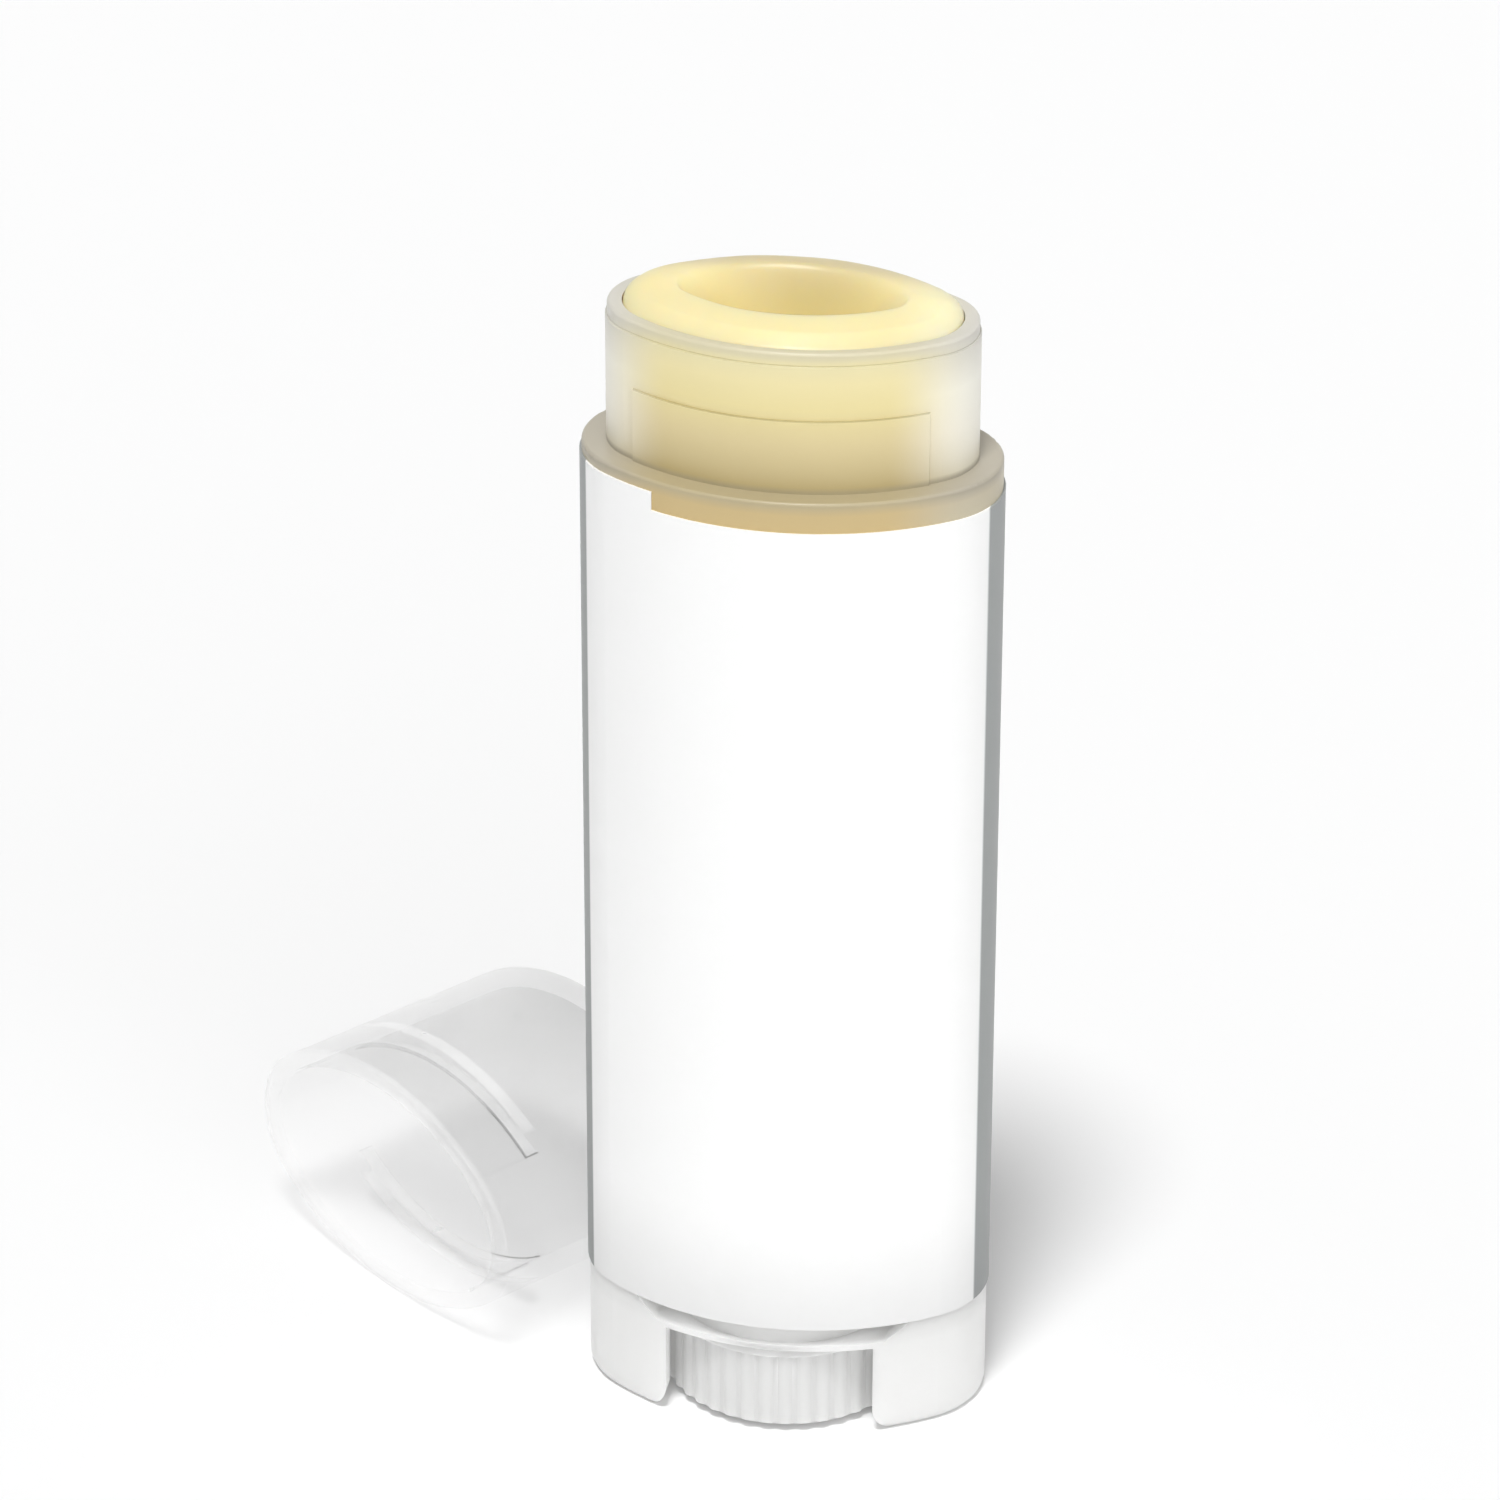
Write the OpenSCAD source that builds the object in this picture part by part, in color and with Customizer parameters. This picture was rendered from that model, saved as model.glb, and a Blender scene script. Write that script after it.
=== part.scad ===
/* [Barrel] */
// Width of the oval barrel, side to side
barrel_w = 19; // [17:0.1:23]
// Depth of the oval barrel, front to back
barrel_d = 11.9; // [11:0.1:13.5]
// Height of the flat ledge that the cap closes on
shoulder_z = 48.9; // [42:0.1:56]
// Rounding of the ledge's outer edge
shoulder_round = 0.15; // [0.1:0.05:0.4]
// Rounding of the foot's lower edge
foot_round = 0.5; // [0.3:0.05:0.6]
// Wall of the hollow foot below the floor
foot_wall = 1; // [0.8:0.05:1.2]

/* [Neck] */
// Width of the ledge round the neck, at each end
ledge_end = 1.1; // [1:0.05:1.4]
// Width of the ledge at each flat side
ledge_side = 1.05; // [0.95:0.05:1.2]
// Height of the neck above the ledge
neck_h = 6.7; // [5.5:0.1:8]
// Rounding of the neck's rim
rim_round = 0.16; // [0.1:0.02:0.2]
// Height of the lead-in at the top of the neck
lead_h = 0.6; // [0.4:0.05:0.8]
// How far the lead-in lies inside the neck's face
lead_in = 0.08; // [0.07:0.01:0.12]
// Height of the proud snap panel above the ledge
panel_h = 3.5; // [3:0.1:4]
// Distance of the snap panel's ends from the neck's ends
panel_inset = 1.75; // [1.5:0.05:2.5]
// How far the snap panel stands proud of the neck
panel_proud = 0.1; // [0.06:0.01:0.12]

/* [Bore] */
// Wall between the bore and the neck's face, at each end
wall_end = 0.75; // [0.6:0.05:0.9]
// Wall between the bore and the neck's face, at each flat side
wall_side = 0.5; // [0.45:0.05:0.65]

/* [Floor] */
// Underside of the floor, above the surface the stick stands on
floor_z = 4.7; // [4.4:0.1:5]
// Thickness of the thin flange at the underside of the floor
flange_t = 0.3; // [0.25:0.05:0.4]
// Height of the relief groove above the flange
groove_h = 0.95; // [0.7:0.05:1.1]
// Thickness of the floor above the relief groove
floor_t = 0.8; // [0.7:0.05:1.2]
// How far the round core that the relief groove leaves lies inside the wheel's edge
core_inset = 0.16; // [0.1:0.02:0.4]
// Greatest depth of the relief groove
groove_depth = 2.2; // [1.8:0.1:2.6]
// How far the relief groove's lower edge reaches past the window at each side
groove_low = 0.5; // [0.3:0.05:0.7]
// How far its upper edge reaches past the window at each side
groove_high = 1.65; // [1.3:0.05:1.9]

/* [Wheel window] */
// How far each side of the window that bares the wheel lies inside the wheel's edge
window_inset = 0.95; // [0.8:0.05:1.2]
// Rounding of the feet's corners beside the window
window_round = 1.3; // [0.6:0.1:1.5]

/* [Label] */
// Thickness of the wrap label
label_t = 0.1; // [0.06:0.01:0.14]
// Distance of the label's top edge below the ledge
label_drop = 1.45; // [1.2:0.05:3]
// How much higher the label's tall end reaches, left of the seam
label_step = 0.9; // [0.3:0.05:1]
// Distance of the seam from the middle of the front
seam_x = 5.45; // [4:0.05:7]

/* [Thumb wheel] */
// How far the wheel stands back from the barrel's flat sides
wheel_inset = 0.05; // [0.02:0.01:0.15]
// Height of the wheel's underside above the surface the stick stands on
wheel_lift = 0.2; // [0.15:0.05:0.4]
// Height of the plain band above the ribs
band_h = 0.35; // [0.25:0.05:0.5]
// Number of ribs round the wheel
rib_count = 40; // [30:2:48]
// Radius of one rib's rounded crest
rib_r = 0.5; // [0.4:0.02:0.6]
// How far a rib stands out from the wheel's core
rib_h = 0.12; // [0.1:0.01:0.2]
// How far the plain band stands out past the ribs
band_proud = 0.05; // [0.03:0.01:0.1]
// Edge bevel of the wheel
wheel_bevel = 0.3; // [0.2:0.05:0.4]
// Wall round the hollow in the wheel's underside
wheel_wall = 1.3; // [1:0.1:1.8]
// Thickness of the wheel above that hollow
wheel_plate = 1.82; // [1.4:0.02:2.6]
// Wall of the hub round the journal's foot, inside that hollow
hub_wall = 1.12; // [0.9:0.02:1.3]
// Number of webs across that hollow
web_count = 6; // [4:1:8]
// Thickness of one web
web_t = 0.7; // [0.5:0.05:0.9]

/* [Screw] */
// Radius over the screw's thread
thread_r = 1.4; // [1.3:0.02:1.5]
// Height of the thread above the screw's core
thread_h = 0.28; // [0.2:0.02:0.36]
// How much wider than the thread the bearing stretch in the floor is
journal_step = 0.08; // [0.06:0.01:0.12]
// How far the screw's tip reaches past the ledge
screw_reach = 0.1; // [0:0.05:0.4]
// How far the snap collar above the floor stands out from the bearing stretch
collar_step = 0.32; // [0.2:0.02:0.4]
// Height of the snap collar
collar_h = 0.5; // [0.4:0.05:0.6]

/* [Elevator] */
// Height of the elevator above the floor in the photographed pose
elevator_lift = 1.85; // [1.75:0.05:2.5]
// Thickness of the elevator's base
elevator_base = 1; // [0.8:0.1:1.4]
// Full height of the elevator
elevator_h = 5; // [4:0.1:6]
// Wall of the elevator's cup
elevator_wall = 0.5; // [0.4:0.05:0.6]
// Wall of the elevator's nut outside the thread
nut_wall = 1.2; // [0.9:0.1:1.3]

/* [Balm] */
// Height of the balm's crest above the rim
balm_proud = 1; // [0.6:0.05:1.4]
// Rounding of the balm's outer shoulder, as a share of the radius of its ends
balm_round_share = 0.4; // [0.3:0.01:0.48]
// Width of the oval hollow in the balm, as a share of the balm's width
hollow_share_w = 0.72; // [0.66:0.01:0.74]
// Depth of the hollow, front to back, as a share of the balm's depth
hollow_share_d = 0.62; // [0.56:0.01:0.64]
// How far the hollow's middle lies to the back
hollow_back = 0.15; // [0:0.05:0.4]
// How far the hollow reaches down
hollow_h = 3.9; // [3:0.1:3.9]
// Rounding of the hollow's bottom, as a share of the radius of its ends
hollow_round_share = 0.4; // [0.3:0.01:0.45]

/* [Cap] */
// Length of the cap, mouth to closed end
cap_l = 13.4; // [12:0.1:15]
// Thickness of the closed end
cap_end_t = 1; // [0.8:0.05:1.4]
// Rounding of the closed end
cap_round = 0.9; // [0.6:0.05:1]
// Rounding of the mouth's outer edge
mouth_round = 0.12; // [0.08:0.01:0.15]
// Play between the snap panel and the recess that takes it
snap_gap = 0.06; // [0.04:0.01:0.1]
// Width of the snap bead behind that recess
bead_w = 0.8; // [0.6:0.05:1]
// Clear way between the lying cap's side and the stick
cap_gap = 0.3; // [0.3:0.1:6]
// How far the cap's mouth lies ahead of the stick's middle, measured along the cap
cap_ahead = 10.34; // [4:0.02:14]
// Heading of the lying cap, from the stick's right towards its back
cap_heading = 51; // [50:1:62]

/* [Hidden] */
$fn = 96;
// Clearances of the fits
neck_fit = 0.1;
wheel_gap = 0.08;
bearing_gap = 0.07;
slide_gap = 0.1;
screw_gap = 0.08;
balm_gap = 0.35;
collar_gap = 0.06;
tip_gap = 1.4;
lead_round = 0.05;
over = 1;
// Places worked out from the sizes above
neck_w = barrel_w - ledge_end - ledge_end;
neck_d = barrel_d - ledge_side - ledge_side;
bore_w = neck_w - wall_end - wall_end;
bore_d = neck_d - wall_side - wall_side;
lead_w = neck_w - lead_in - lead_in;
lead_d = neck_d - lead_in - lead_in;
panel_w = neck_w - panel_inset - panel_inset;
wheel_z = wheel_lift;
wheel_h = floor_z - wheel_gap - wheel_lift;
wheel_r = barrel_d / 2 - wheel_inset;
wheel_core_r = wheel_r - band_proud - rib_h;
wheel_hollow_r = wheel_core_r - wheel_wall;
wheel_hollow_h = wheel_h - wheel_plate;
core_r = wheel_r - core_inset;
window_w = 2 * (wheel_r - window_inset);
groove_w_low = window_w + groove_low + groove_low;
groove_w_high = window_w + groove_high + groove_high;
screw_r = thread_r - thread_h;
journal_r = thread_r + journal_step;
collar_r = journal_r + collar_step;
hub_r = journal_r + hub_wall;
nut_r = thread_r + nut_wall;
screw_top_z = shoulder_z + screw_reach;
rib_centre_r = wheel_r - band_proud - rib_r;
groove_z = floor_z + flange_t;
label_z = groove_z + groove_h;
bore_z = label_z + floor_t;
label_h = shoulder_z - label_drop - label_z;
label_tall_h = label_h + label_step;
elevator_z = bore_z + elevator_lift;
rim_z = shoulder_z + neck_h;
panel_top_z = shoulder_z + panel_h;
collar_z = bore_z + collar_gap;
cup_top_z = elevator_z + elevator_h;
crest_z = rim_z + balm_proud;
stick_w = bore_w - slide_gap - slide_gap;
stick_d = bore_d - slide_gap - slide_gap;
cup_w = stick_w - elevator_wall - elevator_wall;
cup_d = stick_d - elevator_wall - elevator_wall;
hollow_w = stick_w * hollow_share_w;
hollow_d = stick_d * hollow_share_d;
cap_recess = panel_proud + snap_gap;
cap_bore_w = neck_w + neck_fit + neck_fit;
cap_bore_d = neck_d + neck_fit + neck_fit;
foot_w = barrel_w - foot_wall - foot_wall;
foot_d = barrel_d - foot_wall - foot_wall;
panel_w_oval = neck_w + panel_proud + panel_proud;
panel_d_oval = neck_d + panel_proud + panel_proud;
recess_w_oval = cap_bore_w + cap_recess + cap_recess;
recess_d_oval = cap_bore_d + cap_recess + cap_recess;
label_w = barrel_w + label_t + label_t;
label_d = barrel_d + label_t + label_t;

// The four-arc oval: two end arcs and two long side arcs that meet them in a smooth line.
// The arcs' centres lie on lines that rise four for every three along, so each oval with
// the same difference of width and depth runs parallel to the next.
function arc_step(w, d) = (w - d) / 4;
function end_r(w, d) = d / 2 - arc_step(w, d);
function end_x(w, d) = 3 * arc_step(w, d);
function side_y(w, d) = 4 * arc_step(w, d);
function side_r(w, d) = d / 2 + side_y(w, d);
function join_x(w, d) = 0.6 * side_r(w, d);

balm_round = balm_round_share * end_r(stick_w, stick_d);
hollow_round = hollow_round_share * end_r(hollow_w, hollow_d);

// The cap's place: its side clears the stick's end arc by the named gap
stick_reach = end_x(barrel_w, barrel_d) * sin(cap_heading) + end_r(barrel_w, barrel_d);
cap_side = stick_reach + cap_gap + barrel_w / 2;
cap_x = cap_side * sin(cap_heading) + cap_ahead * cos(cap_heading);
cap_y = cap_side * cos(cap_heading) - cap_ahead * sin(cap_heading);

module oval(w, d) {
    intersection() {
        translate([0, side_y(w, d)])
            circle(r = side_r(w, d));
        translate([0, -side_y(w, d)])
            circle(r = side_r(w, d));
        square([2 * join_x(w, d), 2 * d], center = true);
    }
    for (side = [-1, 1])
        translate([side * end_x(w, d), 0])
            circle(r = end_r(w, d));
}

module oval_bar(w, d, h) {
    linear_extrude(height = h)
        oval(w, d);
}

// Half the outline of a disc with rounded edges, to be revolved
module disc_profile(r, h, low, high) {
    difference() {
        square([r, h]);
        translate([r - low, 0])
            square([low + over, low]);
        translate([r - high, h - high])
            square([high + over, high + over]);
    }
    translate([r - low, low])
        circle(r = low);
    translate([r - high, h - high])
        circle(r = high);
}

module round_disc(r, h, low, high) {
    rotate_extrude()
        disc_profile(r, h, low, high);
}

// The wedge at each end of an oval, between the lines through its arcs' centres
module end_wedge(w, d) {
    far_y = 2 * d;
    far_x = end_x(w, d) + 0.75 * far_y;
    for (side = [-1, 1])
        polygon([
            [side * end_x(w, d), 0],
            [side * far_x, far_y],
            [side * far_x, -far_y]
        ]);
}

// An oval bar with its lower and upper outer edges rounded
module oval_block(w, d, h, low, high) {
    difference() {
        intersection() {
            translate([0, side_y(w, d), 0])
                round_disc(side_r(w, d), h, low, high);
            translate([0, -side_y(w, d), 0])
                round_disc(side_r(w, d), h, low, high);
        }
        translate([0, 0, -over])
            linear_extrude(height = h + over + over)
                end_wedge(w, d);
    }
    intersection() {
        for (side = [-1, 1])
            translate([side * end_x(w, d), 0, 0])
                round_disc(end_r(w, d), h, low, high);
        linear_extrude(height = h)
            end_wedge(w, d);
    }
}

// The window and the two rounded corners of the feet beside it, seen from the front
module window_outline() {
    half = window_w / 2;
    polygon([
        [-half - window_round, -over],
        [half + window_round, -over],
        [half + window_round, 0],
        [half, window_round],
        [half, floor_z],
        [-half, floor_z],
        [-half, window_round],
        [-half - window_round, 0]
    ]);
}

module window_cut() {
    translate([0, barrel_d, 0])
        rotate([90, 0, 0])
            linear_extrude(height = barrel_d + barrel_d)
                difference() {
                    window_outline();
                    for (side = [-1, 1])
                        translate([side * (window_w / 2 + window_round), window_round])
                            circle(r = window_round);
                }
}

module groove_cut() {
    difference() {
        translate([0, barrel_d, groove_z])
            rotate([90, 0, 0])
                linear_extrude(height = barrel_d + barrel_d)
                    polygon([
                        [-groove_w_low / 2, 0],
                        [groove_w_low / 2, 0],
                        [groove_w_high / 2, groove_h],
                        [-groove_w_high / 2, groove_h]
                    ]);
        translate([0, 0, floor_z])
            cylinder(r = core_r, h = label_z);
        translate([0, 0, floor_z])
            oval_bar(barrel_w - 2 * groove_depth, barrel_d - 2 * groove_depth, label_z);
    }
}

module snap_panel() {
    translate([0, 0, shoulder_z])
        linear_extrude(height = panel_h)
            intersection() {
                oval(panel_w_oval, panel_d_oval);
                square([panel_w, barrel_d], center = true);
            }
}

module barrel() {
    color([0.93, 0.93, 0.91])
        difference() {
            union() {
                oval_block(barrel_w, barrel_d, shoulder_z, foot_round, shoulder_round);
                translate([0, 0, shoulder_z - over])
                    oval_block(neck_w, neck_d, neck_h + over - lead_h, rim_round, lead_round);
                translate([0, 0, shoulder_z])
                    oval_block(lead_w, lead_d, neck_h, rim_round, rim_round);
                snap_panel();
            }
            translate([0, 0, bore_z])
                oval_bar(bore_w, bore_d, rim_z);
            translate([0, 0, -over])
                oval_bar(foot_w, foot_d, floor_z + over);
            translate([0, 0, floor_z - over])
                cylinder(r = journal_r + bearing_gap, h = bore_z);
            window_cut();
            groove_cut();
        }
}

module label() {
    color([0.96, 0.96, 0.96])
        translate([0, 0, label_z])
            difference() {
                union() {
                    oval_bar(label_w, label_d, label_h);
                    linear_extrude(height = label_tall_h)
                        intersection() {
                            oval(label_w, label_d);
                            translate([-seam_x - barrel_w / 2, 0])
                                square([barrel_w, 2 * barrel_d], center = true);
                        }
                }
                translate([0, 0, -over])
                    oval_bar(barrel_w, barrel_d, label_tall_h + over + over);
            }
}

module wheel_rib() {
    translate([rib_centre_r, 0, wheel_z + wheel_bevel])
        cylinder(r = rib_r, h = wheel_h - band_h - wheel_bevel, $fn = 24);
}

module wheel_body() {
    rotate_extrude()
        translate([0, wheel_z])
            polygon([
                [0, 0],
                [wheel_core_r - wheel_bevel, 0],
                [wheel_core_r, wheel_bevel],
                [wheel_core_r, wheel_h - band_h],
                [wheel_r, wheel_h - band_h],
                [wheel_r, wheel_h],
                [0, wheel_h]
            ]);
}

module wheel_hollow() {
    translate([0, 0, wheel_z - over])
        linear_extrude(height = wheel_hollow_h + over)
            difference() {
                circle(r = wheel_hollow_r);
                circle(r = hub_r);
                for (i = [0 : web_count - 1])
                    rotate(i * 360 / web_count)
                        translate([0, -web_t / 2])
                            square([wheel_hollow_r, web_t]);
            }
}

module screw() {
    cylinder_z = wheel_z + wheel_h - band_h;
    translate([0, 0, cylinder_z])
        cylinder(r = journal_r, h = collar_z - cylinder_z);
    translate([0, 0, collar_z])
        cylinder(r1 = collar_r, r2 = journal_r, h = collar_h);
    translate([0, 0, collar_z])
        cylinder(r = screw_r, h = screw_top_z - collar_z);
}

module thumb_wheel() {
    color([0.9, 0.9, 0.9]) {
        difference() {
            wheel_body();
            wheel_hollow();
        }
        for (i = [0 : rib_count - 1])
            rotate(i * 360 / rib_count)
                wheel_rib();
        screw();
    }
}

module elevator() {
    color([0.88, 0.88, 0.86])
        translate([0, 0, elevator_z])
            difference() {
                union() {
                    difference() {
                        oval_bar(stick_w, stick_d, elevator_h);
                        translate([0, 0, elevator_base])
                            oval_bar(cup_w, cup_d, elevator_h);
                    }
                    cylinder(r = nut_r, h = elevator_h);
                }
                translate([0, 0, -over])
                    cylinder(r = thread_r + screw_gap, h = elevator_h + over + over);
            }
}

module balm() {
    color([0.95, 0.85, 0.45])
        difference() {
            union() {
                translate([0, 0, elevator_z + elevator_base])
                    oval_bar(cup_w, cup_d, elevator_h);
                translate([0, 0, cup_top_z])
                    oval_block(stick_w, stick_d, crest_z - cup_top_z, rim_round, balm_round);
            }
            translate([0, 0, elevator_z])
                cylinder(r = nut_r, h = elevator_h);
            translate([0, 0, elevator_z])
                cylinder(r = thread_r + balm_gap, h = screw_top_z + tip_gap - elevator_z);
            translate([0, hollow_back, crest_z - hollow_h])
                oval_block(hollow_w, hollow_d, hollow_h + over, hollow_round, rim_round);
        }
}

// The snap recess and bead inside the mouth, on one flat side
module snap_recess() {
    difference() {
        translate([0, 0, -over])
            linear_extrude(height = panel_h + over + neck_fit)
                intersection() {
                    oval(recess_w_oval, recess_d_oval);
                    square([panel_w + neck_fit + neck_fit, barrel_d], center = true);
                }
    }
}

module snap_bead() {
    translate([0, 0, panel_h + neck_fit])
        linear_extrude(height = bead_w)
            difference() {
                intersection() {
                    oval(cap_bore_w + over, cap_bore_d + over);
                    square([panel_w, barrel_d], center = true);
                }
                oval(neck_w + neck_fit / 2, neck_d + neck_fit / 2);
            }
}

module cap_shell() {
    difference() {
        oval_block(barrel_w, barrel_d, cap_l, mouth_round, cap_round);
        translate([0, 0, -over])
            oval_bar(cap_bore_w, cap_bore_d, cap_l - cap_end_t + over);
        snap_recess();
    }
    snap_bead();
}

// The cap lies on its flat side, with its mouth towards the front left
module cap() {
    color([0.94, 0.94, 0.94])
        translate([-cap_x, cap_y, barrel_d / 2])
            rotate([0, 0, cap_heading])
                rotate([90, 0, 90])
                    cap_shell();
}

barrel();
label();
thumb_wheel();
elevator();
balm();
cap();
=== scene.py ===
"""Looks, stage and camera for the lip balm stick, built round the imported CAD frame.

The numbers for shapes are in millimetres; MM turns them into the frame's metres.
"""

import bpy
import bmesh
import math
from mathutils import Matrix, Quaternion, Vector, noise


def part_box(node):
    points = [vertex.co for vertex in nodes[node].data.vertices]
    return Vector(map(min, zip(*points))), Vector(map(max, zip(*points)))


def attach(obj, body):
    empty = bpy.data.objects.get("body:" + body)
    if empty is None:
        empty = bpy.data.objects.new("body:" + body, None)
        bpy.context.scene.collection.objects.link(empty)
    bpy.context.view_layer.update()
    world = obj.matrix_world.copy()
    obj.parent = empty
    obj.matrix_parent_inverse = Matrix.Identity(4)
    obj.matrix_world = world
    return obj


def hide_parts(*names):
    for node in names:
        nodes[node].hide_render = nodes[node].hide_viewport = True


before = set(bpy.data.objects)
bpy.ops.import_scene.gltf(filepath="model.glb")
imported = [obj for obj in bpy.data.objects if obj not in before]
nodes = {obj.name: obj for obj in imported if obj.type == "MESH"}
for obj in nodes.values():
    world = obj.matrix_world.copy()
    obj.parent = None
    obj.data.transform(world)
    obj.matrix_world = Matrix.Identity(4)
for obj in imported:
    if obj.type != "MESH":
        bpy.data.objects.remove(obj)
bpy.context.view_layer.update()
MM = 0.001

# the rim of the hollow in the balm's top: its width, its depth and how far it lies to the back
CREST_W, CREST_D, BACK = 10.4, 5.2, 0.1
# the lying cap's heading, how far its mouth lies ahead of the stick's middle, and how far to the side
CAP_AXIS = (0.62932, 0.777146)
CAP_AHEAD, CAP_SIDE = 10.34, 18.1134


# ---------------------------------------------------------------- nodes
def material(name):
    m = bpy.data.materials.new(name)
    m.use_nodes = True
    tree = m.node_tree
    return m, tree, tree.nodes["Principled BSDF"]


def add(tree, kind, **settings):
    node = tree.nodes.new(kind)
    for key, value in settings.items():
        setattr(node, key, value)
    return node


def feed(tree, socket, value):
    """Link an output to the socket, or write a plain value into it."""
    if isinstance(value, bpy.types.NodeSocket):
        tree.links.new(value, socket)
    else:
        socket.default_value = value


def dress(tree, bsdf, **values):
    """Feed the shader's sockets, which are named with an underscore for each space."""
    for name, value in values.items():
        feed(tree, bsdf.inputs[name.replace("_", " ")], value)


def object_coords(tree):
    return add(tree, "ShaderNodeTexCoord").outputs["Object"]


def split(tree, coords):
    node = add(tree, "ShaderNodeSeparateXYZ")
    tree.links.new(coords, node.inputs["Vector"])
    return node.outputs["X"], node.outputs["Y"], node.outputs["Z"]


def maths(tree, operation, first, second=None):
    node = add(tree, "ShaderNodeMath", operation=operation)
    feed(tree, node.inputs[0], first)
    if second is not None:
        feed(tree, node.inputs[1], second)
    return node.outputs["Value"]


def span(tree, value, start, end, low=0.0, high=1.0, kind="LINEAR"):
    """Low where the value is at start, high where it is at end, and no further outside them."""
    node = add(tree, "ShaderNodeMapRange", interpolation_type=kind)
    node.inputs["From Min"].default_value = start
    node.inputs["From Max"].default_value = end
    node.inputs["To Min"].default_value = low
    node.inputs["To Max"].default_value = high
    tree.links.new(value, node.inputs["Value"])
    return node.outputs["Result"]


def within(tree, value, middle, half, soft):
    """1 where the value lies within half of the middle, 0 beyond it, with a soft edge."""
    away = maths(tree, "ABSOLUTE", maths(tree, "SUBTRACT", value, middle * MM))
    return span(tree, away, (half - soft) * MM, (half + soft) * MM, 1.0, 0.0, "SMOOTHSTEP")


def mixed(tree, share, before, after, kind="MIX"):
    """One colour turned into another, or multiplied by it, by a share."""
    node = add(tree, "ShaderNodeMix", data_type="RGBA", blend_type=kind)
    feed(tree, node.inputs[0], share)
    feed(tree, node.inputs[6], before)
    feed(tree, node.inputs[7], after)
    return node.outputs[2]


def grey(level):
    return level, level, level


def ramp(tree, fac, stops):
    r = add(tree, "ShaderNodeValToRGB")
    while len(r.color_ramp.elements) < len(stops):
        r.color_ramp.elements.new(0.5)
    for e, (pos, col) in zip(r.color_ramp.elements, stops):
        e.position = pos
        e.color = (*col, 1.0)
    tree.links.new(fac, r.inputs["Fac"])
    return r.outputs["Color"]


# nearly all values of a noise texture lie between these two
NOISE_LOW, NOISE_HIGH = 0.3, 0.7
# noise scales, details and roughnesses: of the plastic's clouds, its changes of gloss and its grain
CLOUDS, GLOSS, GRAIN = (160.0, 2.0), (420.0, 3.0), (2600.0, 4.0, 0.6)


def noise_tex(tree, coords, scale, detail, rough=0.5):
    n = add(tree, "ShaderNodeTexNoise")
    n.inputs["Scale"].default_value = scale
    n.inputs["Detail"].default_value = detail
    n.inputs["Roughness"].default_value = rough
    tree.links.new(coords, n.inputs["Vector"])
    return n.outputs["Fac"]


def mottled(tree, fac, dark, light):
    return ramp(tree, fac, [(NOISE_LOW, dark), (NOISE_HIGH, light)])


def varied(tree, fac, low, high):
    return span(tree, fac, NOISE_LOW, NOISE_HIGH, low, high)


def bump(tree, bsdf, height, strength, distance):
    b = add(tree, "ShaderNodeBump")
    b.inputs["Strength"].default_value = strength
    b.inputs["Distance"].default_value = distance
    tree.links.new(height, b.inputs["Height"])
    tree.links.new(b.outputs["Normal"], bsdf.inputs["Normal"])


# ---------------------------------------------------------------- materials
PLASTIC_IOR, PLASTIC_SPECULAR = 1.49, 0.45
EVEN_RADIUS = (1.0, 1.0, 1.0)  # under the surface, light of each colour wanders as far
# colour of the painted glow that stands in for light coming through the plastic
PAINTED_GLOW_COLOUR = (1.0, 1.0, 0.99, 1.0)


def frosted(name, tint, rough, through, cover, glow):
    """Natural polypropylene: milky, frosted, with faint flow marks.

    rough is the range of its roughness, through how much of the covered part lets light pass, cover
    how much of the surface is milky at all, glow how much of the light wanders under the surface
    before it comes out, and also how strong a painted glow the surface gives off.
    """
    m, tree, bsdf = material(name)
    co = object_coords(tree)
    shade = [c * 0.975 for c in tint]
    dress(
        tree, bsdf,
        Base_Color=mottled(tree, noise_tex(tree, co, *CLOUDS), shade, tint),
        Roughness=varied(tree, noise_tex(tree, co, *GLOSS), *rough),
        Transmission_Weight=through,
        Alpha=cover,
        IOR=PLASTIC_IOR,
        Specular_IOR_Level=PLASTIC_SPECULAR,
        Subsurface_Weight=glow,
        Subsurface_Radius=EVEN_RADIUS,
        Subsurface_Scale=3 * MM,
        # painted glow: a faint white emission stands in for the light that comes through the plastic
        Emission_Color=PAINTED_GLOW_COLOUR,
        Emission_Strength=0.1 * glow,
    )
    bump(tree, bsdf, noise_tex(tree, co, *GRAIN), 0.25, 0.03 * MM)
    return m


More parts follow.
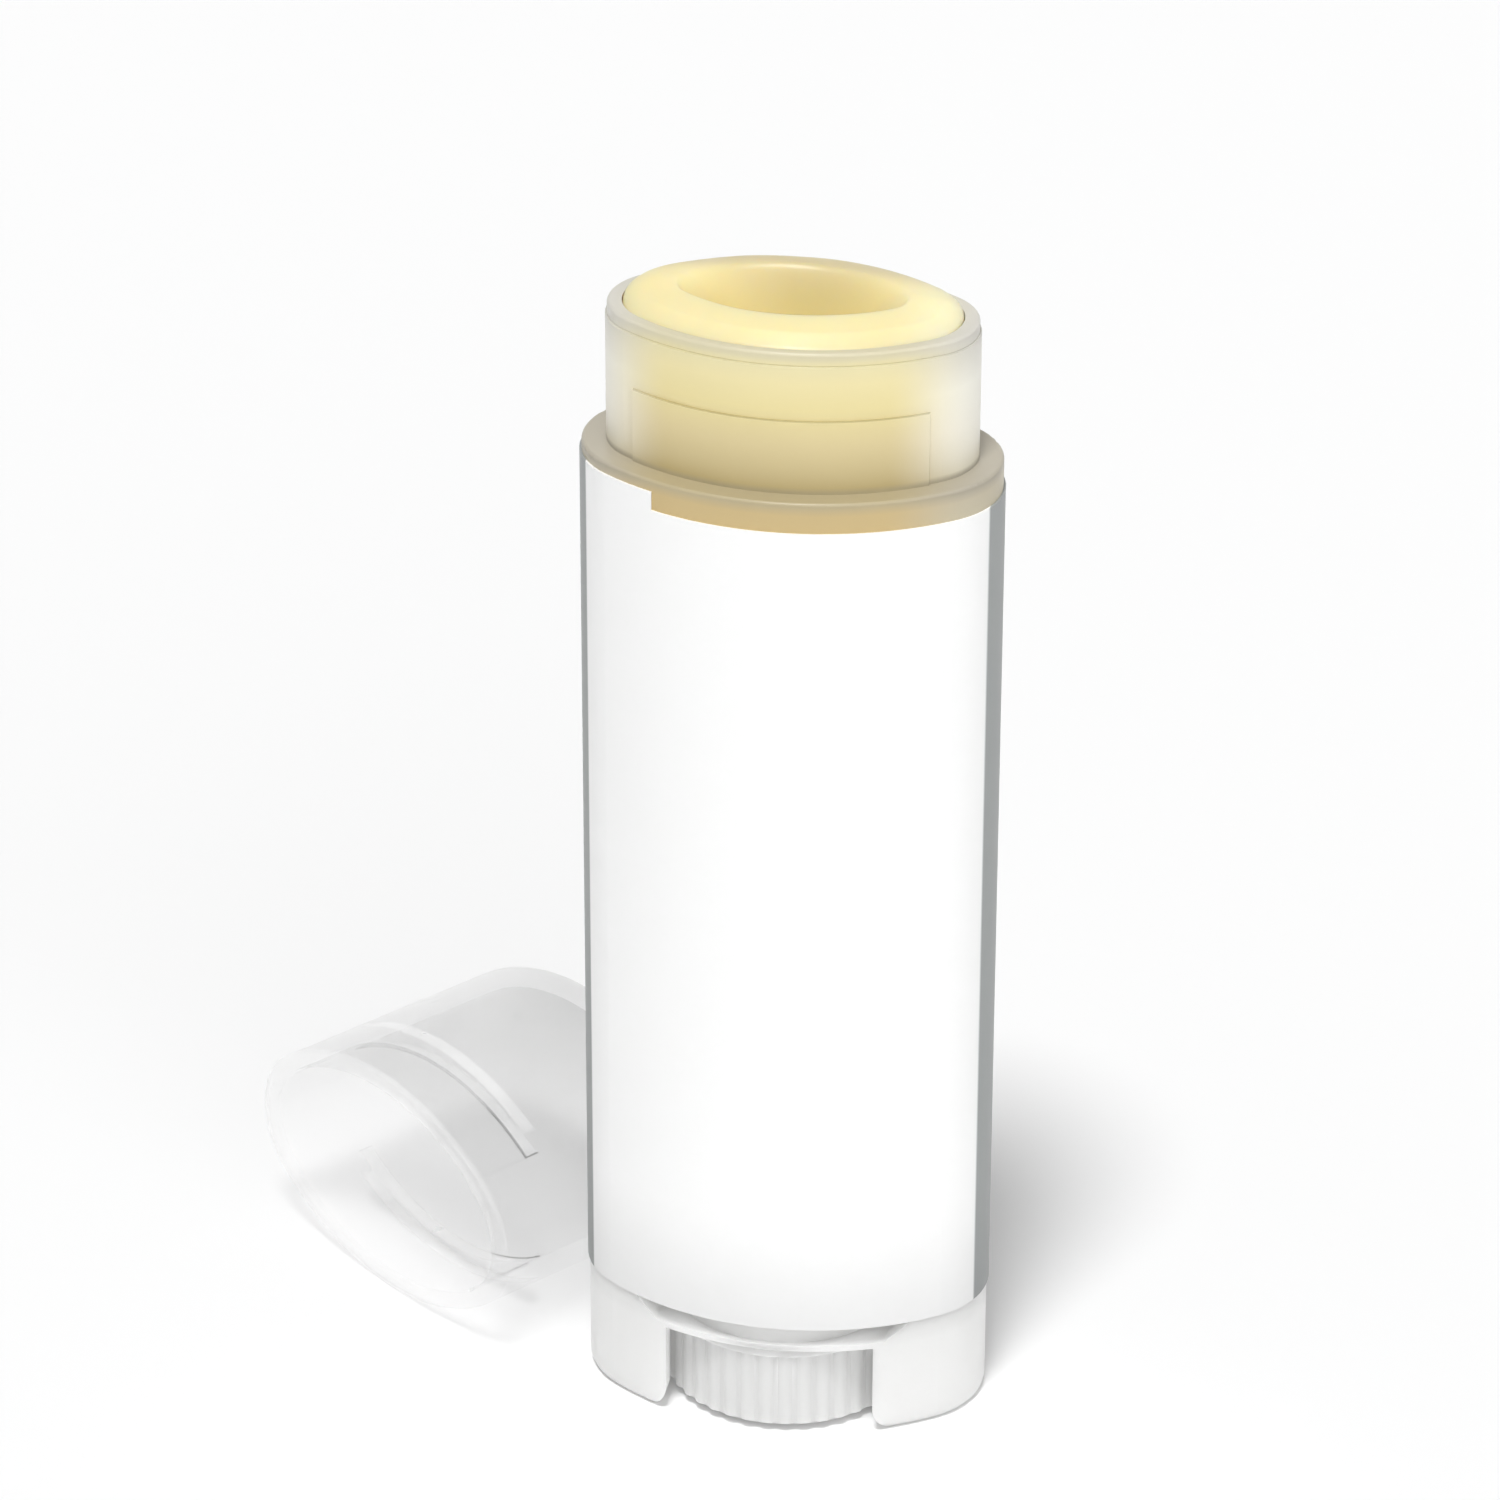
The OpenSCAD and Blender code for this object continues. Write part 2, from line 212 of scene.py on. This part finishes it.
def cap_material():
    """The cap's clearer plastic. It lies on its side, nearly clear below and denser above, where painted shade
    greys it.
    """
    m, tree, bsdf = material("cap_plastic")
    co = object_coords(tree)
    height = span(tree, split(tree, co)[2], 0.0, 12 * MM)

    def measure(x, y, offset):
        """How far a point lies along the flat direction (x, y), from a plane at offset."""
        dot = add(tree, "ShaderNodeVectorMath", operation="DOT_PRODUCT")
        tree.links.new(co, dot.inputs[0])
        dot.inputs[1].default_value = (x, y, 0.0)
        return maths(tree, "ADD", dot.outputs["Value"], offset * MM)

    def patch(mask, before, value):
        return mixed(tree, mask, before, (*grey(value), 1))

    # painted highlight: the snap bead is denser and painted as a bright white band through the wall; the cut
    # edge of the mouth is a denser ring, kept pale where the top is greyed by painted shade
    along = measure(CAP_AXIS[0], CAP_AXIS[1], CAP_AHEAD)
    across = measure(-CAP_AXIS[1], CAP_AXIS[0], -CAP_SIDE)
    bead_from_mouth, bead_reach = 4.0, 6.5
    bead = maths(
        tree, "MULTIPLY",
        within(tree, along, bead_from_mouth, 0.34, 0.08), within(tree, across, 0.0, bead_reach, 0.2),
    )
    rim = within(tree, along, 0.0, 0.28, 0.06)
    # painted shade: the plastic is painted greyer the higher it lies
    tint = ramp(tree, height, [(0.0, grey(0.97)), (0.35, grey(0.95)), (0.75, grey(0.44)), (1.0, grey(0.18))])
    cloud = mottled(tree, noise_tex(tree, co, *CLOUDS), grey(0.97), grey(1.0))
    # flow carries the painted shade by height, mottled with the plastic's faint clouds
    flow = mixed(tree, 1.0, tint, cloud, "MULTIPLY")
    cover = ramp(tree, height, [(0.0, grey(0.04)), (0.35, grey(0.05)), (0.75, grey(0.115)), (1.0, grey(0.185))])
    dress(
        tree, bsdf,
        Base_Color=patch(rim, patch(bead, flow, 1.0), 0.95),
        Alpha=patch(rim, patch(bead, cover, 0.28), 0.17),
        Roughness=varied(tree, noise_tex(tree, co, *GLOSS), 0.2, 0.28),
        Transmission_Weight=0.3,
        IOR=PLASTIC_IOR,
        Specular_IOR_Level=PLASTIC_SPECULAR,
    )
    return m


# colours of the barrel by height in millimetres, on its flat sides and at its two ends: white foot,
# band under the ledge at 48.9, neck, and lead-in under the rim. Above the foot the balm seen through
# the milky wall is painted on, darker towards the ledge and in the crease at its foot by painted shade
FLAT_SIDE_PAINTED = (
    (7.0, (0.84, 0.84, 0.83)), (46.6, (0.65, 0.485, 0.225)), (48.3, (0.63, 0.485, 0.24)),
    (48.94, (0.44, 0.39, 0.265)), (49.1, (0.55, 0.445, 0.22)), (51.2, (0.75, 0.63, 0.34)),
    (53.0, (0.88, 0.765, 0.385)), (54.2, (0.91, 0.805, 0.44)), (55.1, (0.86, 0.78, 0.47)),
    (55.45, (0.7, 0.645, 0.455)),
)
END_SIDE_PAINTED = (
    (7.0, (0.84, 0.84, 0.83)), (46.6, (0.62, 0.56, 0.405)), (48.3, (0.585, 0.525, 0.39)),
    (48.94, (0.37, 0.335, 0.275)), (49.1, (0.86, 0.82, 0.68)), (51.2, (1.0, 0.97, 0.86)),
    (53.2, (1.0, 0.985, 0.89)), (55.45, (0.7, 0.68, 0.62)),
)
MILKY = ((48.97, grey(0.94)), (49.1, grey(0.93)))
STOPS_REACH = 60  # the height that stands for the end of a ramp
# the snap panel's top and half its width, and the foot of the lead-in under the rim
PANEL_TOP, PANEL_HALF, LEAD_IN = 52.4, 6.63, 55.0


def barrel_material():
    """The frosted plastic on the barrel. The balm seen through its thin neck and the band under the ledge is
    painted into its colour, darker towards the ledge by painted shade; its thick foot stays white, and its ends
    are painted paler than its flat sides."""
    m, tree, bsdf = material("barrel_plastic")
    co = object_coords(tree)
    x, _, z = split(tree, co)
    height = span(tree, z, 0.0, STOPS_REACH * MM)

    def by_height(stops):
        return ramp(tree, height, [(at / STOPS_REACH, colour) for at, colour in stops])

    ends = span(tree, maths(tree, "ABSOLUTE", x), 4.8 * MM, 8.6 * MM, kind="SMOOTHSTEP")
    colour = mixed(tree, ends, by_height(FLAT_SIDE_PAINTED), by_height(END_SIDE_PAINTED))
    cloud = mottled(tree, noise_tex(tree, co, *CLOUDS), grey(0.965), grey(1.0))
    colour = mixed(tree, 1.0, colour, cloud, "MULTIPLY")
    # painted shade: the narrow ledges over the snap panel and under the rim are painted darker than the light
    # on them shows
    painted_shade_over_panel = maths(
        tree, "MULTIPLY",
        within(tree, z, PANEL_TOP, 0.02, 0.01), within(tree, x, 0.0, PANEL_HALF, 0.02),
    )
    painted_shade_under_rim = within(tree, z, LEAD_IN, 0.035, 0.02)
    for mask, shade in ((painted_shade_over_panel, 0.68), (painted_shade_under_rim, 0.78)):
        colour = mixed(tree, mask, colour, (*grey(shade), 1), "MULTIPLY")
    # painted glow: a faint white emission low on the barrel, up to the groove under the label, stands in for
    # the light that wanders through the thick milky foot
    painted_glow_foot = span(tree, z, 5.1 * MM, 4.7 * MM, 0.0, 0.025)
    painted_glow_groove = span(tree, z, 7 * MM, 6 * MM, 0.0, 0.03)
    dress(
        tree, bsdf,
        Base_Color=colour,
        Alpha=by_height(MILKY),
        Emission_Color=PAINTED_GLOW_COLOUR,
        Emission_Strength=maths(tree, "ADD", painted_glow_foot, painted_glow_groove),
        Roughness=varied(tree, noise_tex(tree, co, *GLOSS), 0.3, 0.4),
        IOR=PLASTIC_IOR,
        Specular_IOR_Level=PLASTIC_SPECULAR,
        Subsurface_Weight=span(tree, z, 8 * MM, 7 * MM),
        Subsurface_Radius=EVEN_RADIUS,
        Subsurface_Scale=2.5 * MM,
    )
    bump(tree, bsdf, noise_tex(tree, co, *GRAIN), 0.25, 0.03 * MM)
    return m


# where the label's white front ends at its left and at its right
WHITE_FROM, WHITE_TO = -8.93, 9.2


def label_material():
    """Paper-white film with a darker back, and painted shade that darkens it towards its foot."""
    m, tree, bsdf = material("label_film")
    co = object_coords(tree)
    x, y, z = split(tree, co)

    def step(value, edge, before, after):
        return span(tree, value, (edge - 0.03) * MM, (edge + 0.03) * MM, before, after)

    front = step(y, 0.0, 1.0, 0.0)
    sides = maths(tree, "MULTIPLY", step(x, WHITE_FROM, 0.0, 1.0), step(x, WHITE_TO, 1.0, 0.0))
    panel = maths(tree, "MULTIPLY", front, sides)
    fibre = noise_tex(tree, co, 900.0, 4.0, 0.65)
    white = mottled(tree, fibre, (0.94, 0.942, 0.938), (0.95, 0.952, 0.95))
    dark = mottled(tree, fibre, (0.325, 0.34, 0.338), (0.345, 0.36, 0.358))
    # painted shade: the film is painted darker towards its foot
    painted_shade_near_foot = span(tree, z, 4 * MM, 13 * MM, 1.0, 0.0, "SMOOTHSTEP")
    dress(
        tree, bsdf,
        Base_Color=mixed(tree, painted_shade_near_foot, mixed(tree, panel, dark, white), (*grey(0.8), 1), "MULTIPLY"),
        Roughness=varied(tree, fibre, 0.42, 0.5),
        Specular_IOR_Level=0.35,
    )
    bump(tree, bsdf, fibre, 0.12, 0.02 * MM)
    return m


# half the width and half the depth of the painted shade, a deeper yellow, in the hollow
HOLLOW_SHADE_W, HOLLOW_SHADE_D = 5.2, 2.5


def wax_material():
    m, tree, bsdf = material("balm_wax")
    co = object_coords(tree)
    x, y, _ = split(tree, co)
    smear = noise_tex(tree, co, 900.0, 4.0, 0.6)
    colour = mottled(tree, noise_tex(tree, co, 240.0, 3.0), (0.87, 0.75, 0.40), (0.89, 0.775, 0.435))
    # painted shade: the hollow is painted a deeper, darker yellow than the ring round it
    place = add(tree, "ShaderNodeMapping")
    place.inputs["Location"].default_value = (0.0, -BACK / HOLLOW_SHADE_D, 0.0)
    place.inputs["Scale"].default_value = (1 / (HOLLOW_SHADE_W * MM), 1 / (HOLLOW_SHADE_D * MM), 0.0)
    tree.links.new(co, place.inputs["Vector"])
    away = add(tree, "ShaderNodeVectorMath", operation="LENGTH")
    tree.links.new(place.outputs["Vector"], away.inputs[0])
    painted_hollow_shade = span(tree, away.outputs["Value"], 0.62, 1.02, 1.0, 0.0, "SMOOTHSTEP")
    colour = mixed(tree, painted_hollow_shade, colour, (0.91, 0.9, 0.78, 1), "MULTIPLY")
    # painted shade darkens the back of the top, and a painted sheen makes its right end paler
    painted_shade_to_back = span(tree, y, 0.6 * MM, 3.0 * MM, 0.0, 1.0, "SMOOTHSTEP")
    colour = mixed(tree, painted_shade_to_back, colour, (0.71, 0.7, 0.72, 1), "MULTIPLY")
    painted_light_to_right = span(tree, x, 4.2 * MM, 7.0 * MM, 0.0, 0.5, "SMOOTHSTEP")
    colour = mixed(tree, painted_light_to_right, colour, (0.93, 0.88, 0.62, 1))
    dress(
        tree, bsdf,
        Base_Color=colour,
        Roughness=varied(tree, smear, 0.3, 0.42),
        Subsurface_Weight=0.55,
        Subsurface_Radius=(1.0, 0.75, 0.35),
        Subsurface_Scale=2.2 * MM,
        Specular_IOR_Level=0.4,
    )
    bump(tree, bsdf, smear, 0.18, 0.04 * MM)
    return m


looks = {
    "barrel": barrel_material(),
    # painted glow: the wheel gives off the full faint white emission of the frosted plastic
    "thumb_wheel": frosted(
        "wheel_plastic", (0.64, 0.64, 0.636), rough=(0.34, 0.46), through=0.0, cover=0.92, glow=1.0,
    ),
    "elevator": frosted(
        "elevator_plastic", (0.96, 0.96, 0.95), rough=(0.36, 0.48), through=0.3, cover=0.85, glow=0.0,
    ),
    "cap": cap_material(),
    "label": label_material(),
}
wax = wax_material()
for name, mat in looks.items():
    mesh = nodes[name].data
    mesh.materials.clear()
    mesh.materials.append(mat)


# ---------------------------------------------------------------- meshes
def ring_points(w, d, z, count, lift=None, back=0.0):
    """Points round a four-arc oval of width w and depth d."""
    k = (w - d) / 4
    points = []
    for i in range(count):
        t = 2 * math.pi * i / count
        x, y = w / 2 * math.cos(t), d / 2 * math.sin(t)
        # pull the ellipse point onto the four-arc oval along the line to its nearest arc centre
        if k > 1e-6:
            ax, ay = abs(x), abs(y)
            if ax - 3 * k > 0 and (ax - 3 * k) * 4 > ay * 3:
                cx, cy, r = 3 * k, 0.0, d / 2 - k
            else:
                cx, cy, r = 0.0, -4 * k, d / 2 + 4 * k
            length = math.hypot(ax - cx, ay - cy) or 1.0
            ax, ay = cx + (ax - cx) / length * r, cy + (ay - cy) / length * r
            x, y = math.copysign(ax, x), math.copysign(ay, y)
        dz = lift(x, y) if lift else 0.0
        points.append(Vector((x, y + back, z + dz)) * MM)
    return points


def band(bm, row, after):
    """Faces between two rows of points that run round."""
    for i in range(len(row)):
        j = (i + 1) % len(row)
        bm.faces.new((row[i], row[j], after[j], after[i]))


def as_object(name, bm, mat):
    bmesh.ops.recalc_face_normals(bm, faces=bm.faces)
    mesh = bpy.data.meshes.new(name)
    bm.to_mesh(mesh)
    bm.free()
    mesh.materials.append(mat)
    obj = bpy.data.objects.new(name, mesh)
    bpy.context.scene.collection.objects.link(obj)
    return obj


def loft(name, rings, mat):
    """A smooth skin over rings of points, closed at both ends by a fan."""
    bm = bmesh.new()
    rows = [[bm.verts.new(p) for p in ring] for ring in rings]
    count = len(rows[0])
    for a, b in zip(rows, rows[1:]):
        band(bm, a, b)
    for row in (rows[-1], rows[0]):
        middle = bm.verts.new(sum((v.co for v in row), Vector()) / count)
        for i in range(count):
            bm.faces.new((row[i], row[(i + 1) % count], middle))
    obj = as_object(name, bm, mat)
    for p in obj.data.polygons:
        p.use_smooth = True
    return obj


# ---------------------------------------------------------------- the balm
bar_low, bar_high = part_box("balm")
crest, seat_z = bar_high.z / MM, bar_low.z / MM
wall_w, wall_d = (bar_high.x - bar_low.x) / MM, (bar_high.y - bar_low.y) / MM
cup_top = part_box("elevator")[1].z / MM
screw_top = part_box("thumb_wheel")[1].z / MM

AROUND = 160  # points round a ring
SCREW_R, NUT_R = 1.75, 2.62  # the bore in the balm, round the screw and round the elevator's nut
TIP_GAP = 1.4  # room over the screw's tip
CUP_WALL = 0.5
EASE = 0.02  # the bar is this much slimmer than its solid
TOUCH = 0.14  # the cast top is this much wider, and nearly touches the bore's wall
DROP, DEEP = 1.12, 3.4  # from the crest down to the back's edge and to the hollow's bottom
# the slope in front of the crest: how far down it lies, by the share of the way in from the wall
FRONT_SLOPE = ((0.0, 1.1), (0.05, 0.97), (0.4, 0.5), (0.46, 0.46), (0.9, 0.19), (0.97, 0.16), (1.0, 0.18))
CREST_DIP = 0.18  # how far the crest in front lies below the crest at the back
BACK_FULL, FRONT_STEEP = 2.3, 2.3  # exponents of the back's round and of the hollow's front


def worn(x, y):
    """Small unevenness of the worn top; it only goes down."""
    return -0.1 * (noise.noise(Vector((x * 0.35, y * 0.5, 3.7))) * 0.5 + 0.5)


def straight(table, s):
    """Straight lines between a table's points."""
    for (s0, v0), (s1, v1) in zip(table, table[1:]):
        if s <= s1:
            return v0 + (v1 - v0) * (s - s0) / (s1 - s0)
    return table[-1][1]


def smooth(t):
    t = min(1.0, max(0.0, t))
    return t * t * (3 - 2 * t)


def in_front(x, y, gradual=0.0):
    """1 on the front side of the worn top, 0 at its back, with a change between them round its ends."""
    reach = math.hypot(x / CREST_W, y / CREST_D) or 1.0
    return smooth((0.12 + 0.28 * gradual - y / CREST_D / reach) / (0.5 + 0.6 * gradual))


def shoulder(s):
    """From the wall to the crest: a full round at the back, in front a slope up to a narrow crest."""
    full = DROP * (1 - (1 - (1 - s) ** BACK_FULL) ** (1 / BACK_FULL))
    flat = straight(FRONT_SLOPE, s)
    return lambda x, y: worn(x, y) - full + (full - flat) * in_front(x, y)


def bowl(s):
    """From the crest to the hollow's bottom: soft at the back, steep in front."""
    soft = DEEP * smooth(s)
    steep = CREST_DIP + (DEEP - CREST_DIP) * (1 - (1 - s) ** FRONT_STEEP)
    return lambda x, y: worn(x, y) - soft + (soft - steep) * in_front(x, y, smooth(3 * s))


bore_top = screw_top + TIP_GAP
cup_w, cup_d = wall_w - 2 * CUP_WALL, wall_d - 2 * CUP_WALL
top_w, top_d = wall_w + TOUCH, wall_d + TOUCH
rings = []
# the bore for the screw, from its closed top down to the seat
for z, r in (
    (bore_top, 0.6), (bore_top, 1.2), (bore_top - 0.05, 1.7), (bore_top - 0.4, SCREW_R), (30.0, SCREW_R),
    (cup_top + 0.02, SCREW_R), (cup_top, 2.55), (cup_top - 0.05, NUT_R), (seat_z + 0.02, NUT_R),
):
    rings.append(ring_points(2 * r, 2 * r, z, AROUND))
# the seat, the part that fills the cup, and the bar above it
rings.append(ring_points(5.6, 5.5, seat_z, AROUND))
for w, d, wider, z in (
    (cup_w, cup_d, -0.1, seat_z), (cup_w, cup_d, -EASE, seat_z + 0.06),
    (cup_w, cup_d, -EASE, cup_top - 0.02), (cup_w, cup_d, 0.1, cup_top + 0.02),
    (wall_w, wall_d, -0.2, cup_top + 0.03), (wall_w, wall_d, -EASE, cup_top + 0.15),
    (wall_w, wall_d, -EASE, 24.0), (wall_w, wall_d, -EASE, 36.0), (wall_w, wall_d, -EASE, 48.0),
    (wall_w, wall_d, TOUCH, crest - 2.4), (wall_w, wall_d, TOUCH, crest - 1.4),
):
    rings.append(ring_points(w + wider, d + wider, z, AROUND))
# the worn top
for s in (0.0, 0.02, 0.05, 0.1, 0.2, 0.3, 0.38, 0.41, 0.44, 0.48, 0.58, 0.7, 0.82, 0.9, 0.94, 0.97, 1.0):
    w, d = top_w + (CREST_W - top_w) * s, top_d + (CREST_D - top_d) * s
    rings.append(ring_points(w, d, crest, AROUND, shoulder(s), BACK * s))
for s in (0.02, 0.05, 0.09, 0.14, 0.2, 0.28, 0.36, 0.45, 0.55, 0.65, 0.75, 0.85, 0.93, 1.0):
    rings.append(ring_points(CREST_W - 7.6 * s, CREST_D - 4.1 * s, crest, AROUND, bowl(s), BACK))
balm = loft("balm_bar", rings, wax)
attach(balm, "carriage")
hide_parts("balm")


# ---------------------------------------------------------------- the screw's thread
def thread(name, core, crest_r, lead, low, high, mat):
    """A trapezoid ridge wound round the spindle."""
    steps, sunk = 28, 0.03
    half_root, half_crest = 0.42, 0.2
    total = int((high - low) / lead * steps)
    bm = bmesh.new()
    rows = []
    for i in range(total + 1):
        t = -2 * math.pi * i / steps  # left-handed: the balm rises as the wheel turns to the right
        z = low + lead * i / steps
        fade = min(1.0, i / 10, (total - i) / 10)
        root, top = core - sunk, core + (crest_r - core) * max(fade, 0.02)
        rows.append([
            bm.verts.new(Vector((r * math.cos(t), r * math.sin(t), z + dz)) * MM)
            for r, dz in ((root, -half_root), (top, -half_crest), (top, half_crest), (root, half_root))
        ])
    for a, b in zip(rows, rows[1:]):
        band(bm, a, b)
    bm.faces.new(rows[0])
    bm.faces.new(list(reversed(rows[-1])))
    return as_object(name, bm, mat)


screw_thread = thread(
    "screw_thread", core=1.12, crest_r=1.38, lead=4.0, low=7.9, high=screw_top - 0.6, mat=looks["thumb_wheel"],
)
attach(screw_thread, "wheel")


# ---------------------------------------------------------------- stage, light and camera
def looked_at(tree):
    """1 for rays that show the surface to the camera, by gloss or through plastic too, and 0 for light."""
    path = add(tree, "ShaderNodeLightPath").outputs
    shown = maths(tree, "MAXIMUM", path["Is Camera Ray"], path["Is Glossy Ray"])
    return maths(tree, "MAXIMUM", shown, path["Is Transmission Ray"])


def floor_material():
    m = bpy.data.materials.new("floor")
    m.use_nodes = True
    tree = m.node_tree
    tree.nodes.clear()
    out = add(tree, "ShaderNodeOutputMaterial")
    diffuse = add(tree, "ShaderNodeBsdfDiffuse")
    diffuse.inputs["Color"].default_value = (0.93, 0.93, 0.93, 1)
    glow = add(tree, "ShaderNodeEmission")
    tree.links.new(maths(tree, "MULTIPLY", looked_at(tree), 0.02), glow.inputs["Strength"])
    both = add(tree, "ShaderNodeAddShader")
    tree.links.new(diffuse.outputs[0], both.inputs[0])
    tree.links.new(glow.outputs[0], both.inputs[1])
    tree.links.new(both.outputs[0], out.inputs["Surface"])
    return m


FLOOR_HALF = 3  # metres
mesh = bpy.data.meshes.new("floor")
corners = [(x * FLOOR_HALF, y * FLOOR_HALF, 0) for x, y in ((-1, -1), (1, -1), (1, 1), (-1, 1))]
mesh.from_pydata(corners, [], [(0, 1, 2, 3)])
mesh.materials.append(floor_material())
floor = bpy.data.objects.new("floor", mesh)
bpy.context.scene.collection.objects.link(floor)

world = bpy.data.worlds.new("studio")
bpy.context.scene.world = world
world.use_nodes = True
background = world.node_tree.nodes["Background"]
level = span(world.node_tree, looked_at(world.node_tree), 0.0, 1.0, 0.3, 1.0)
world.node_tree.links.new(level, background.inputs["Strength"])
background.inputs["Color"].default_value = (1, 1, 1, 1)


def sun(name, strength, azimuth, elevation, angle):
    """Light that comes from azimuth (0 from the front, 90 from the right) and elevation."""
    data = bpy.data.lights.new(name, "SUN")
    data.energy = strength
    data.angle = math.radians(angle)
    obj = bpy.data.objects.new(name, data)
    bpy.context.scene.collection.objects.link(obj)
    az, el = math.radians(azimuth), math.radians(elevation)
    source = Vector((math.sin(az) * math.cos(el), -math.cos(az) * math.cos(el), math.sin(el)))
    obj.rotation_euler = (-source).to_track_quat("-Z", "Y").to_euler()
    obj.location = source * 0.5
    return obj


sun("key", strength=2.14, azimuth=-5, elevation=69, angle=14)
sun("fill", strength=0.85, azimuth=36, elevation=22, angle=50)

# the camera's place in metres, its heading, roll and lens were fitted to the photograph
CAMERA_AT, CAMERA_AIM = (0.047586, -0.268226, 0.18016), (-0.159688, 0.865817, -0.47421)
CAMERA_ROLL, CAMERA_LENS, SENSOR = 0.0022, 162.85, 36
camera_data = bpy.data.cameras.new("camera")
camera = bpy.data.objects.new("camera", camera_data)
bpy.context.scene.collection.objects.link(camera)
camera_data.sensor_width = SENSOR
camera_data.lens = CAMERA_LENS
camera_data.clip_start = 0.01
camera_data.clip_end = 20
camera.location = CAMERA_AT
aim = Vector(CAMERA_AIM).to_track_quat("-Z", "Y")
camera.rotation_euler = (aim @ Quaternion((0, 0, 1), CAMERA_ROLL)).to_euler()
bpy.context.scene.camera = camera
bpy.context.scene.view_settings.view_transform = "Standard"
